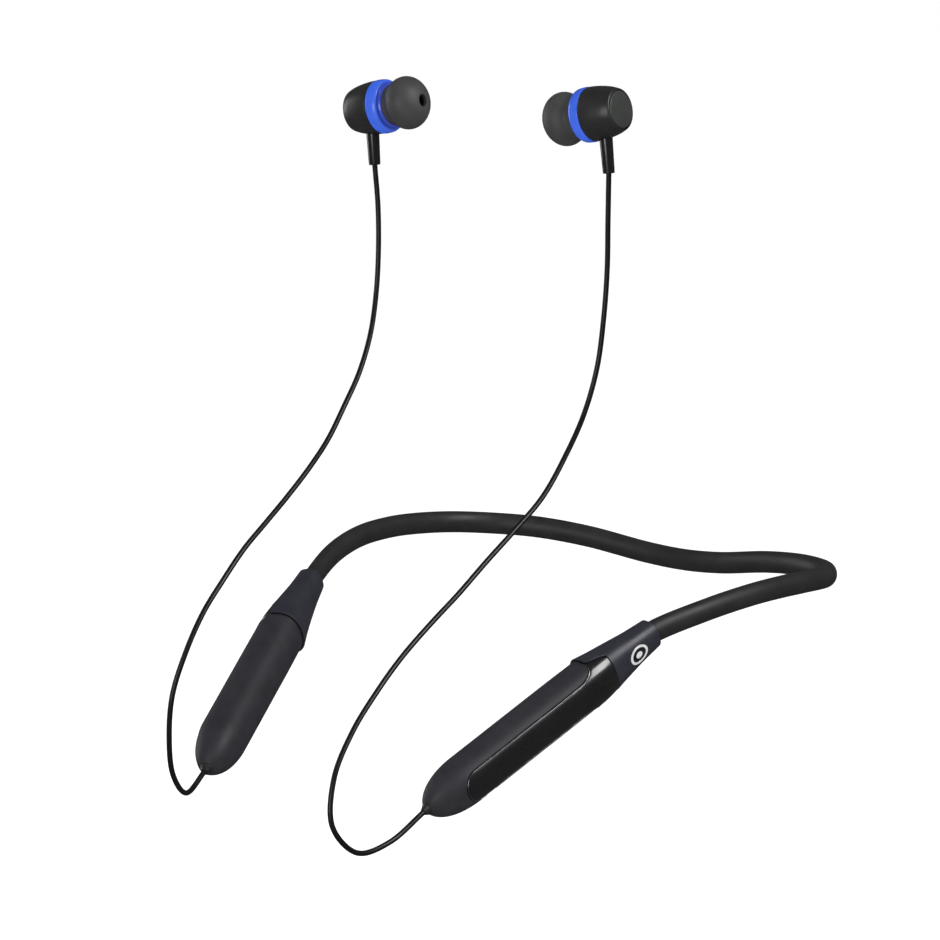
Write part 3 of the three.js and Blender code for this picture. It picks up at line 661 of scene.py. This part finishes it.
def add_neckband():
    """Each half of the sleeve and its two cores, swept between the back and that side's arm."""
    line, distance = SLEEVE_LINE
    end = distance[-1]
    for side, sign in SIDES.items():
        skin = swept(0, sign * end, SLEEVE_THICK / 2, SLEEVE_HIGH / 2, 0, 0.6, 64)
        sleeve = add_mesh(f"{side}_sleeve", *skin, "silicone")
        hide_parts("sleeve_back", f"{side}_sleeve_bend", f"{side}_sleeve_arm")
        pieces = [sleeve]
        for name, lift, finish in (
            ("memory_wire", CORE_OFFSET, "steel"),
            ("signal_cable", -CORE_OFFSET, "copper"),
        ):
            radius = CORE_RADII[name]
            skin = swept(0, sign * end, radius, radius, lift, 2, 16)
            core = add_mesh(f"{side}_{name}", *skin, finish)
            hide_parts(name)
            pieces.append(core)
        for piece in pieces:
            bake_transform(piece)


# ------------------------------------------------------------------ modules


def module_place(sign):
    """From a module's local frame, scaled to metres, to the row frame."""
    along = unit(MODULE_TIP - COLLAR_TOP)
    outward = np.array((1.0, 0, 0))
    outward = unit(outward - outward.dot(along) * along)
    up = np.cross(along, outward)
    turn = Matrix(np.stack([outward, up, along], axis=1).tolist()).to_4x4()
    place = Matrix.Translation(Vector(COLLAR_TOP * MM)) @ turn
    return Matrix.Scale(-1, 4, (1, 0, 0)) @ place if sign < 0 else place


def half_sizes(at, grow):
    """Half thickness and half height of the module's section at distances from its top."""
    thick = np.interp(np.minimum(at, SHOULDER), PROFILE_LINE[:, 0], PROFILE_LINE[:, 1])
    high = np.interp(np.minimum(at, SHOULDER), PROFILE_LINE[:, 0], PROFILE_LINE[:, 2])
    beyond = np.clip((at - SHOULDER) / TIP_LENGTH, 0, 1)
    rounding = np.sqrt(1 - beyond**TIP_POWER)
    return (thick + grow) * rounding, (high + grow) * rounding


def on_module(turn, at, grow=0.0):
    """Points on the module's skin at an angle round its section and a distance from its top."""
    at = np.broadcast_to(at, np.shape(turn)).astype(float)
    thick, high = half_sizes(at, grow)
    c, s = np.cos(turn), np.sin(turn)
    x = thick * np.sign(c) * np.abs(c) ** (2 / SECTION_POWER)
    y = high * np.sign(s) * np.abs(s) ** (2 / SECTION_POWER)
    return np.stack([x, y, at], axis=-1).reshape(-1, 3)


def turn_at(y, at, grow=0.0):
    """The angle on the outer face of the section where the skin is at height y."""
    high = half_sizes(at, grow)[1]
    return np.arcsin(np.clip(np.abs(y) / high, 0, 1) ** (SECTION_POWER / 2)) * np.sign(y)


def seam_line(turn, shift):
    """Distance from the top where the collar's stepped edge crosses an angle of the section."""
    at = np.full(np.shape(turn), SEAM_INNER)
    for _ in range(30):
        x = on_module(turn, at)[:, 0]
        step = np.clip((x - shift - SEAM_STEP[0]) / (SEAM_STEP[1] - SEAM_STEP[0]), 0, 1)
        at = SEAM_INNER + shift - (SEAM_INNER - SEAM_OUTER) * step**2 * (3 - 2 * step)
    return at


def flare_line(grow, count):
    """(angle, at) down the cover's flared side, from the collar's edge to the straight strip."""
    narrow = turn_at(COVER_HALF + grow, FLARE_AT + grow + FLARE_LONG)
    wide = FLARE_TURN + grow / COLLAR_RADIUS

    def curve(t):
        return narrow + (wide - narrow) * (1 - t) ** 2, FLARE_AT + grow + FLARE_LONG * t * t

    t = np.linspace(0, 1, 400)
    turn, at = curve(t)
    start = t[np.argmax(at > seam_line(turn, SEAM_MIDDLE + SEAM_HALF))]
    return curve(np.linspace(start, 1, count))


def collar_shell():
    """The collar swells at its lower edge, most on the inner side, where it covers the body."""
    columns, rows = 240, 44
    turns = np.linspace(0, 2 * math.pi, columns, endpoint=False)
    edge = seam_line(turns, SEAM_MIDDLE - SEAM_HALF)
    inner = np.clip((edge - SEAM_OUTER) / (SEAM_INNER - SEAM_OUTER), 0, 1)
    points = []
    for w in np.linspace(0, 1, rows):
        rise = max(0.0, (w - COLLAR_SWELL_FROM) / (1 - COLLAR_SWELL_FROM)) ** 2
        swell = (COLLAR_SWELL + COLLAR_SWELL_INNER * inner) * rise
        points.append(on_module(turns, LIP + (edge - LIP) * w, SEAM_MIDDLE + swell))
    return thickened(np.vstack(points), grid_faces(rows, columns, closed=True), COLLAR_WALL)


def cover_shell():
    """A flared strip down the outer face with a half-round end."""
    grow = SEAM_MIDDLE - SEAM_HALF + LIP - COVER_LIP
    half, centre = COVER_HALF + grow, COVER_END - COVER_HALF
    across = np.linspace(-1, 1, 65)
    side_turn, side_at = flare_line(grow, FLARE_ROWS)
    share = (side_at - side_at[0]) / (side_at[-1] - side_at[0])
    top = seam_line(across * side_turn[0], SEAM_MIDDLE + SEAM_HALF)
    rows = []
    for turn, part in zip(side_turn, share):
        rows.append(on_module(across * turn, top + (side_at[-1] - top) * part, COVER_PROUD))
    for at in np.arange(side_at[-1] + 1, centre - 0.5, 1.0):
        rows.append(on_module(turn_at(across * half, at, COVER_PROUD), at, COVER_PROUD))
    rows.append(on_module(turn_at(across * half, centre, COVER_PROUD), centre, COVER_PROUD))
    faces = grid_faces(len(rows), len(across))
    first = sum(len(row) for row in rows)
    reach = np.linspace(0, half, len(across) // 2 + 1)
    fan = np.linspace(0, math.pi, 29)
    for angle in fan:
        at = centre + reach * math.sin(angle)
        turn = turn_at(reach * math.cos(angle), at, COVER_PROUD)
        rows.append(on_module(turn, at, COVER_PROUD))
    faces += grid_faces(len(fan), len(reach), first)
    return thickened(np.vstack(rows), faces, SHELL_WALL, COVER_LIP)


def cover_edge():
    """The line of the cover's polished edge, from one side of the collar round to the other."""
    half, centre = COVER_HALF, COVER_END - COVER_HALF
    side_turn, side_at = flare_line(0, FLARE_ROWS)
    strip = np.arange(side_at[-1] + 1, centre, 1.0)
    angles = np.linspace(0, math.pi, 29)
    end_at = centre + half * np.sin(angles)
    strip_turn = turn_at(np.full(len(strip), half), strip)
    turns = [side_turn, strip_turn, turn_at(half * np.cos(angles), end_at)]
    turns += [-strip_turn[::-1], -side_turn[::-1]]
    at = [side_at, strip, end_at, strip[::-1], side_at[::-1]]
    return on_module(np.concatenate(turns), np.concatenate(at), TRIM_PROUD)


def lining_shell():
    """A dark lining inside the collar and the body, which closes the view through the seam."""
    turns = np.linspace(0, 2 * math.pi, 96, endpoint=False)
    levels = np.linspace(LINING_FROM, LINING_TO, 12)
    rows = [on_module(turns, at, -LINING_INSET) for at in levels]
    faces = grid_faces(len(rows), len(turns), closed=True)
    return thickened(np.vstack(rows), faces, LINING_WALL, LINING_LIP)


def body_shell():
    """Everything below the collar's edge, round the cover, down to the cord's hole in the tip."""
    grow = SEAM_MIDDLE + SEAM_HALF
    half, centre = COVER_HALF + grow, COVER_END - COVER_HALF
    around = np.linspace(0, 1, 129)
    side_turn, side_at = flare_line(grow, FLARE_ROWS)
    rows = []

    def turns_from(start):
        return start + (2 * math.pi - 2 * start) * around

    share = (side_at - side_at[0]) / (side_at[-1] - side_at[0])
    top = seam_line(turns_from(side_turn[0]), SEAM_MIDDLE + SEAM_HALF)
    for turn, part in zip(side_turn, share):
        rows.append(on_module(turns_from(turn), top + (side_at[-1] - top) * part))
    for at in np.arange(side_at[-1] + 1, centre - 0.5, 1.0):
        rows.append(on_module(turns_from(turn_at(half, at)), at))
    for angle in np.radians(np.linspace(0, 90, 16)):
        at = centre + half * math.sin(angle)
        rows.append(on_module(turns_from(turn_at(half * math.cos(angle), at)), at))
    slit_end = half_sizes(centre + half, 0)[0] / half_sizes(SHOULDER, 0)[0]
    hole = CORD_HOLE_RADIUS / half_sizes(SHOULDER, 0)[0]
    for angle in np.linspace(math.acos(slit_end), math.acos(hole), 26)[1:]:
        at = SHOULDER + TIP_LENGTH * (1 - math.cos(angle) ** 2) ** (1 / TIP_POWER)
        rows.append(on_module(2 * math.pi * around, at))
    return thickened(np.vstack(rows), grid_faces(len(rows), len(around)), SHELL_WALL)


def oval_plate(inner, outer, raised):
    """An oval inlay, or a ring of one, that follows the collar's outer face."""
    turns = np.linspace(0, 2 * math.pi, 64, endpoint=False)
    rows = []
    proud = SEAM_MIDDLE + BADGE_PROUD + raised
    for reach in np.linspace(inner, outer, 9):
        y = reach * BADGE_WIDE / 2 * np.cos(turns)
        at = BADGE_AT + reach * BADGE_LONG / 2 * np.sin(turns)
        rows.append(on_module(turn_at(y, at, proud), at, proud))
    faces = [tuple(reversed(face)) for face in grid_faces(len(rows), len(turns), closed=True)]
    return thickened(np.vstack(rows), faces, BADGE_WALL, BADGE_LIP)


def stadium(long, wide, count=48):
    """A slot outline: (across, along) points round it, long along the module."""
    turns = np.linspace(0, 2 * math.pi, count, endpoint=False) + math.pi / count
    radius = wide / 2
    shift = np.sign(np.sin(turns)) * (long / 2 - radius)
    return np.stack([radius * np.cos(turns), radius * np.sin(turns) + shift], axis=1)


def slot_prism(outline, from_x, to_x):
    """A prism whose outline lies in the module's height and length."""
    ends = [np.column_stack([np.full(len(outline), x), outline]) for x in (from_x, to_x)]
    count = len(outline)
    faces = grid_faces(2, count, closed=True)
    faces.append(tuple(reversed(range(count))))
    faces.append(tuple(range(count, 2 * count)))
    return np.vstack(ends), faces


def control_cutters():
    """Prisms for the openings in the left body: buttons, light, microphone and socket."""
    made = []
    for at in BUTTONS.values():
        outline = stadium(BUTTON_LONG + 2 * BUTTON_ROOM, BUTTON_WIDE + 2 * BUTTON_ROOM) + (0, at)
        made.append(slot_prism(outline, CUT_FROM, CUT_TO))
    for at, radius in ((LED_AT, LED_HOLE), (MICROPHONE_AT, MICROPHONE_HOLE)):
        made.append(slot_prism(stadium(2 * radius, 2 * radius, 24) + (0, at), CUT_FROM, CUT_TO))
    opening = stadium(SOCKET_WIDE + SOCKET_ROOM, SOCKET_HIGH + SOCKET_ROOM, 64)
    points, faces = slot_prism(opening, *SOCKET_CUT)
    socket = np.column_stack([points[:, 2], points[:, 0], points[:, 1] + SOCKET_AT])
    made.append((socket, faces))
    return made


def cut_away(body, cutters, place):
    """Cuts the prisms out of a body and keeps the result as its own mesh."""
    tools = [add_mesh(f"cutter_{i}", *shape, "matte", place) for i, shape in enumerate(cutters)]
    for tool in tools:
        cut = body.modifiers.new(tool.name, "BOOLEAN")
        cut.object = tool
        cut.operation = "DIFFERENCE"
        cut.solver = "EXACT"
    evaluated = body.evaluated_get(bpy.context.evaluated_depsgraph_get())
    mesh = bpy.data.meshes.new_from_object(evaluated)
    body.modifiers.clear()
    body.data = mesh
    mesh.set_sharp_from_angle(angle=CREASE)
    for tool in tools:
        bpy.data.objects.remove(tool)


def button_cap(at):
    """A slot-shaped key with a soft crown and rounded edges."""
    outline = stadium(BUTTON_LONG, BUTTON_WIDE)
    rows = []
    for reach in np.linspace(0, 1, 9):
        crown = BUTTON_PROUD - BUTTON_CROWN * reach**4
        flat = outline * reach * BUTTON_FLAT
        face = np.full(len(flat), INNER_FACE - crown)
        rows.append(np.column_stack([face, flat[:, 0], flat[:, 1] + at]))
    faces = grid_faces(len(rows), len(outline), closed=True)
    return thickened(np.vstack(rows), faces, BUTTON_DEEP, BUTTON_LIP)


def mark_bars(at, bars):
    """Raised rounded bars on a key, each given by its (across, along) size."""
    points, faces = [], []
    top, foot = INNER_FACE - BUTTON_PROUD - MARK_RAISED, INNER_FACE - MARK_SUNK
    for wide, long in bars:
        outline = stadium(max(wide, long), min(wide, long), 24)
        if wide > long:
            outline = outline[:, ::-1]
        bar, sides = slot_prism(outline + (0, at), top, foot)
        first = sum(len(p) for p in points)
        points.append(bar)
        faces += [tuple(first + k for k in face) for face in sides]
    return np.vstack(points), faces


def grommet_outline():
    """A soft ring round the cord, tapering as it leaves the tip."""
    end = MODULE_LENGTH
    return rounded([
        (end - 3, 0.5, 0), (end - 3, 1.5, 0), (end - 0.4, 1.5, 0.1), (end + 0.05, 1.15, 0.3),
        (end + 0.75, 0.78, 0.1), (end + 0.75, 0.5, 0),
    ])


def add_badge_inlays(side, place):
    for name, (inner, outer) in INLAYS.items():
        shape = oval_plate(inner, outer, INLAY_RAISED)
        inlay = add_mesh(f"{side}_{name}", *shape, "badge", place)
        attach(inlay, f"{side}_arm")


def add_cover_trim(side, place):
    edge = [place @ Vector(point * MM) for point in cover_edge()]
    trim = add_tube(f"{side}_cover_trim", edge, TRIM_RADIUS * MM, "trim")
    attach(trim, f"{side}_arm")


def add_lining(side, place):
    lining = add_mesh(f"{side}_plug", *lining_shell(), "chip", place)
    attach(lining, f"{side}_arm")


def add_shells(side, place):
    made = {
        "collar": (collar_shell(), "satin", "satin"),
        "outer_cover": (cover_shell(), "gloss", "gloss"),
        "body_shell": (body_shell(), "matte", "matte"),
        "badge": (oval_plate(0, PLATE_REACH, 0.0), "gloss", "film"),
    }
    for name, (shape, finish, slot) in made.items():
        piece = add_mesh(f"{side}_{name}_skin", *shape, finish, place)
        if (side, name) == ("left", "body_shell"):
            cut_away(piece, control_cutters(), place)
        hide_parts(f"{side}_{name}")
        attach(piece, f"{side}_arm")


def add_grommet(side, place):
    down = place @ Matrix.Rotation(-math.pi / 2, 4, "Y")
    grommet = add_mesh(f"{side}_grommet", *lathe(grommet_outline(), 48), "rubber", down)
    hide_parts(f"{side}_cord_grommet")
    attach(grommet, f"{side}_arm")


def add_modules():
    for side, sign in SIDES.items():
        place = module_place(sign)
        add_badge_inlays(side, place)
        add_cover_trim(side, place)
        add_lining(side, place)
        add_shells(side, place)
        add_grommet(side, place)


def add_buttons():
    place = module_place(1)
    for name, at in BUTTONS.items():
        cap = add_mesh(f"{name}_cap", *button_cap(at), "satin", place)
        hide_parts(f"button_{name}")
        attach(cap, f"{name}_key")
        mark = add_mesh(f"{name}_mark", *mark_bars(at, MARKS[name]), "badge", place)
        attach(mark, f"{name}_key")


# ------------------------------------------------------------------ earbuds


def bud_place(side):
    """From a bud's local frame to the row frame, from the mount on its rear cap."""
    mounts = {m["name"]: m for m in frame["record"]["mounts"]}
    mount = mounts[f"{side}_clasp_face"]
    forward = -Vector(mount["axis"]).normalized()
    turn = Vector((1, 0, 0)).rotation_difference(forward)
    return Matrix.Translation(Vector(mount["pos_m"])) @ turn.to_matrix().to_4x4()


def housing_outline():
    barrel = catmull_rom([(0.6, 4.74), (2, 5.25), (4, 5.68), (6, 5.93), (7.35, 5.98)], 6)
    rim = [(0.25, 4.32), (0.27, 4.45), (0.36, 4.6)]
    inside = [(7.5, 5.92), (7.55, 5.8), (7.55, 4.95), (4, 4.75), (1.75, 4.65), (1.75, 4.3)]
    return np.array([*rim, *barrel.tolist(), *inside])


def cap_outline():
    return rounded([
        (0, 0, 0), (0, 3.98, 0.15), (0.3, 4.16, 0.1), (1.5, 4.2, 0), (1.5, 0, 0),
    ])


def front_outline():
    return rounded([
        (7.7, 5.1, 0), (7.7, 5.98, 0.12), (8.3, 6.08, 0.3), (9.75, 5.97, 0.4), (10.35, 5.6, 0.25),
        (10.42, 4.75, 0.12), (11, 4.5, 0.2), (11.1, 2.5, 0.1), (15, 2.5, 0), (15.3, 2.65, 0.1),
        (16, 2.4, 0.15), (16, 1.9, 0.1), (11, 1.9, 0), (9.6, 4.3, 0), (9.2, 5.1, 0),
    ])


def ear_tip_outline():
    """A dome whose skirt turns in behind, on a short tube that grips the nozzle."""
    dome = []
    for angle in np.radians(np.linspace(125.5, 17, 40)):
        dome.append((TIP_AT + TIP_LONG * math.cos(angle), TIP_RADIUS * math.sin(angle)))
    lip = [(19.53, 1.56), (19.48, 1.43), (19.3, 1.38)]
    bore = [(18.6, 1.4), (18.1, 2.95), (11.4, 2.95), (11.3, 3.1), (11.4, 3.45), (17.0, 3.45)]
    skirt = [
        (16.9, 4.1), (15.8, 4.7), (13.4, 4.3), (11.3, 4.05), (11.1, 4.25), (11.15, 4.55), (11.5, 4.66),
    ]
    crease = [(11.9, 4.62), (12.2, 4.68)]
    return np.array([*skirt, *crease, *dome, *lip, *bore])


def stem_outline(length):
    """A tapered sleeve from inside the housing to a crisp end round the cord."""
    return rounded([
        (4.0, 0.4, 0), (4.0, STEM_TOP_RADIUS, 0), (length, STEM_END_RADIUS, 0.08),
        (length, 0.85, 0.05), (length - 0.5, 0.8, 0), (length - 0.5, 0.4, 0),
    ])


def add_turned(side, name, outline, finish, place, body):
    piece = add_mesh(f"{side}_{name}_skin", *lathe(outline), finish, place)
    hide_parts(f"{side}_{name}")
    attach(piece, body)
    return piece


def add_buds():
    for side in SIDES:
        place, arm = bud_place(side), f"{side}_arm"
        add_turned(side, "rear_housing", housing_outline(), "housing", place, arm)
        add_turned(side, "rear_cap", cap_outline(), "cap", place, arm)
        front = add_turned(side, "front_shell", front_outline(), "blue", place, arm)
        # faces past the step get the darker blue, as painted shade in the recess
        front.data.materials.append(MATERIALS["blue_painted_shade"])
        back = place.inverted()
        for face in front.data.polygons:
            local = back @ face.center
            face.material_index = int(local.x > PAINTED_SHADE_FROM * MM)
        add_turned(side, "ear_tip", ear_tip_outline(), "tip", place, f"{side}_tip")
        start = place @ Vector((BUD_STEM_AT * MM, 0, 0))
        end = Vector(CORD_ROUTES[side][0])
        turn = Vector((1, 0, 0)).rotation_difference((end - start).normalized())
        down = Matrix.Translation(start) @ turn.to_matrix().to_4x4()
        length = (end - start).length / MM + 0.2
        add_turned(side, "strain_relief", stem_outline(length), "gloss", down, arm)


# ------------------------------------------------------------------ cords


def add_cords():
    for side, route in CORD_ROUTES.items():
        line = catmull_rom(route, 20)
        cord = add_tube(f"{side}_ear_cord", line, CORD_DIAMETER / 2, "cord")
        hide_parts(f"{side}_cord")
        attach(cord, f"{side}_arm")


# ------------------------------------------------------------------ CAD pieces that stay

INNER_FINISHES = {
    "wire_crimp": "steel", "clasp_magnet": "steel", "driver_magnet": "steel", "microphone": "steel",
    "usb_c_socket": "steel", "nozzle_screen": "screen", "driver_basket": "chip", "diaphragm": "film",
    "switch": "chip", "bluetooth_chip": "chip", "main_board": "board", "protection_board": "board",
    "battery_cell": "cell", "led_light_pipe": "lens",
}


def finish_inner_parts():
    """The frame's own nodes that stay visible or inside the shells get a worked finish."""
    for name, piece in frame["nodes"].items():
        for part, finish in INNER_FINISHES.items():
            if part in name:
                piece.data.materials.clear()
                piece.data.materials.append(MATERIALS[finish])


# ------------------------------------------------------------------ stage

FLOOR_DROP = 0.12  # from the lowest point of the cords, which hang free as worn
FLOOR_SHADE = 0.92
DOME_RADIUS = 7.0
DOME_SIDES = 96
DOME_ROWS = 24
DOME_STRENGTH = 1.08
WORLD_STRENGTH = 0.07
AIM = Vector((0, -0.08, 0.04))
LAMPS = {  # place from the aim and size in metres, power in watts
    "key": ((0.8, 0.17, 0.66), (0.3, 0.6), 7),
    "front": ((0.22, -1.07, 0.17), (0.4, 0.6), 4),
    "rim": ((-1.0, -0.1, 0.1), (0.2, 0.6), 2),
}


def area_light(name, place, size, power):
    data = bpy.data.lights.new(name, "AREA")
    data.shape = "RECTANGLE"
    data.size, data.size_y = size
    data.energy = power
    light = bpy.data.objects.new(name, data)
    light.location = place
    light.rotation_mode = "QUATERNION"
    light.rotation_quaternion = (AIM - place).to_track_quat("-Z", "Y")
    bpy.context.scene.collection.objects.link(light)


def add_backdrop():
    """A pale floor under a white dome, which lights it evenly."""
    depth = cad_box[0][2] - FLOOR_DROP
    turns = np.linspace(0, 2 * math.pi, DOME_SIDES, endpoint=False)
    ring = np.stack([np.cos(turns), np.sin(turns)], axis=1) * DOME_RADIUS
    floor_mesh = bpy.data.meshes.new("floor")
    floor_mesh.from_pydata([(x, y, depth) for x, y in ring.tolist()], [], [tuple(range(DOME_SIDES))])
    floor = bpy.data.objects.new("floor", floor_mesh)
    rows = [
        (x * math.cos(rise), y * math.cos(rise), depth + DOME_RADIUS * math.sin(rise))
        for rise in np.radians(np.linspace(0, 90, DOME_ROWS))
        for x, y in ring.tolist()
    ]
    dome_mesh = bpy.data.meshes.new("dome")
    dome_mesh.from_pydata(rows, [], grid_faces(DOME_ROWS, DOME_SIDES, closed=True))
    dome = bpy.data.objects.new("dome", dome_mesh)
    for piece in (floor, dome):
        bpy.context.scene.collection.objects.link(piece)
        piece.visible_glossy = False
    shade = (FLOOR_SHADE, FLOOR_SHADE, FLOOR_SHADE, 1)
    pale, _, shader = material("pale_floor", Base_Color=shade, Roughness=0.9)
    shader.inputs["Specular IOR Level"].default_value = 0
    floor_mesh.materials.append(pale)
    black = (0, 0, 0, 1)
    glow, _, shader = material("white_dome", Base_Color=black, Emission_Strength=DOME_STRENGTH)
    shader.inputs["Emission Color"].default_value = (1, 1, 1, 1)
    dome_mesh.materials.append(glow)


def add_stage():
    """The floor and dome, a faint white world and three soft lamps."""
    add_backdrop()
    bpy.context.scene.view_settings.view_transform = "Standard"
    world = bpy.data.worlds.new("studio")
    bpy.context.scene.world = world
    world.use_nodes = True
    world.node_tree.nodes["Background"].inputs["Color"].default_value = (1, 1, 1, 1)
    world.node_tree.nodes["Background"].inputs["Strength"].default_value = WORLD_STRENGTH
    for name, (offset, size, power) in LAMPS.items():
        area_light(name, AIM + Vector(offset), size, power)


MATERIALS = make_materials()
SLEEVE_LINE = sleeve_line()
PROFILE_LINE = catmull_rom(MODULE_PROFILE, 40)

add_camera()
add_cords()
add_neckband()
add_modules()
add_buttons()
add_buds()
finish_inner_parts()
add_stage()
